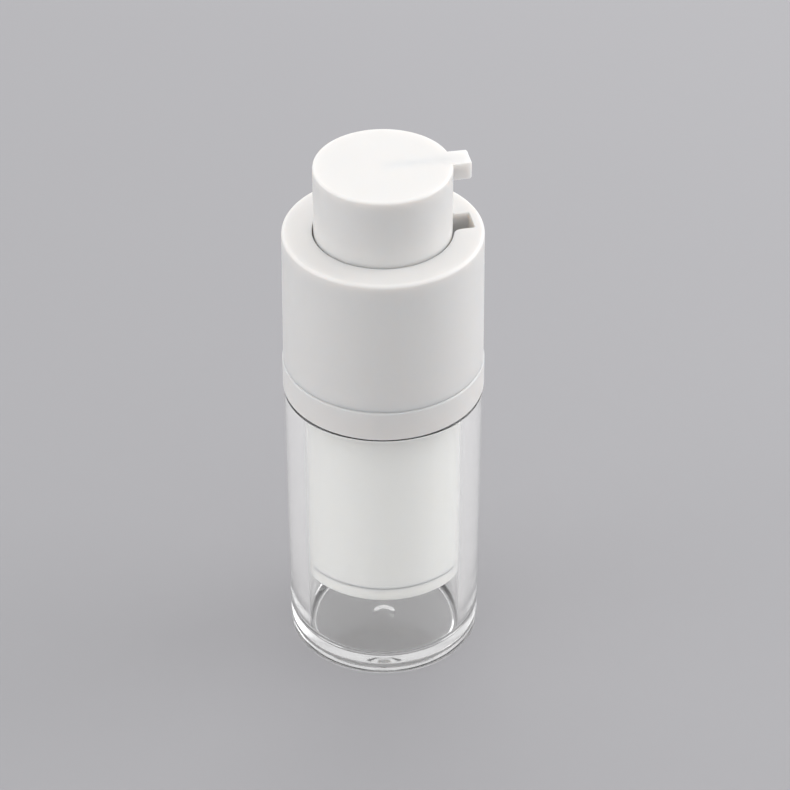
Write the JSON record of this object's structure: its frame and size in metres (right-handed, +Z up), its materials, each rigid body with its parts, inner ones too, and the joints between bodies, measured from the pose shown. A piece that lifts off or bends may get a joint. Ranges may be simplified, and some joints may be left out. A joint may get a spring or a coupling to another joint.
{
  "type": "airless pump bottle",
  "caption": "Twist-up airless pump bottle: white collar turns to raise a push button with side nozzle and a milky inner bottle inside a thick clear bottle.",
  "frame": {"origin": "centre of the foot on the surface that the bottle stands on", "axes": "+Z up along the bottle's axis, +X towards the nozzle in the raised state"},
  "size_m": [0.0352, 0.0352, 0.0975],
  "materials": {
    "clear_shell": "clear polished moulding",
    "white_satin": "satin white moulding",
    "milky_inner": "translucent milky moulding",
    "slide_white": "natural white slide moulding",
    "pump_natural": "natural moulding",
    "piston_soft": "soft white moulding",
    "seal_soft": "soft pale foam seal",
    "spring_steel": "drawn stainless steel"
  },
  "bodies": {
    "bottle": {"outer_bottle": "clear_shell", "neck_ring": "white_satin", "cam_sleeve": "slide_white"},
    "collar": {"twist_collar": "white_satin", "drive_liner": "slide_white"},
    "carrier": {"lift_carrier": "slide_white", "inner_bottle": "milky_inner", "base_plug": "milky_inner", "neck_cap": "slide_white", "neck_gasket": "seal_soft", "pump_housing": "pump_natural", "pump_closure": "pump_natural", "return_spring": "spring_steel"},
    "head": {"push_button": "white_satin", "pump_stem": "pump_natural", "stem_core": "pump_natural"},
    "slider": {"stem_piston": "piston_soft"},
    "follower": {"follower_piston": "piston_soft"},
    "ball": {"inlet_ball": "spring_steel"}
  },
  "joints": [
    {"name": "collar_twist", "type": "hinge", "parent": "bottle", "child": "collar", "pos_m": [0, 0, 0.06], "axis": [0, 0, 1], "range_deg": [0, 150]},
    {"name": "carrier_lift", "type": "slide", "parent": "collar", "child": "carrier", "axis": [0, 0, 1], "range_m": [-0.0126, 0]},
    {"name": "button_press", "type": "slide", "parent": "carrier", "child": "head", "axis": [0, 0, 1], "range_m": [-0.0035, 0], "stiffness_N_per_m": 1800, "springref_m": 0.004, "deforming": ["return_spring"]},
    {"name": "piston_slip", "type": "slide", "parent": "head", "child": "slider", "axis": [0, 0, 1], "range_m": [0, 0.0008]},
    {"name": "follower_rise", "type": "slide", "parent": "carrier", "child": "follower", "axis": [0, 0, 1], "range_m": [0, 0.0304]},
    {"name": "ball_lift", "type": "slide", "parent": "carrier", "child": "ball", "axis": [0, 0, 1], "range_m": [0, 0.001]}
  ],
  "couplings": [
    {"joint": "collar_twist", "follows": "carrier_lift", "rad_per_m": -207.78}
  ]
}
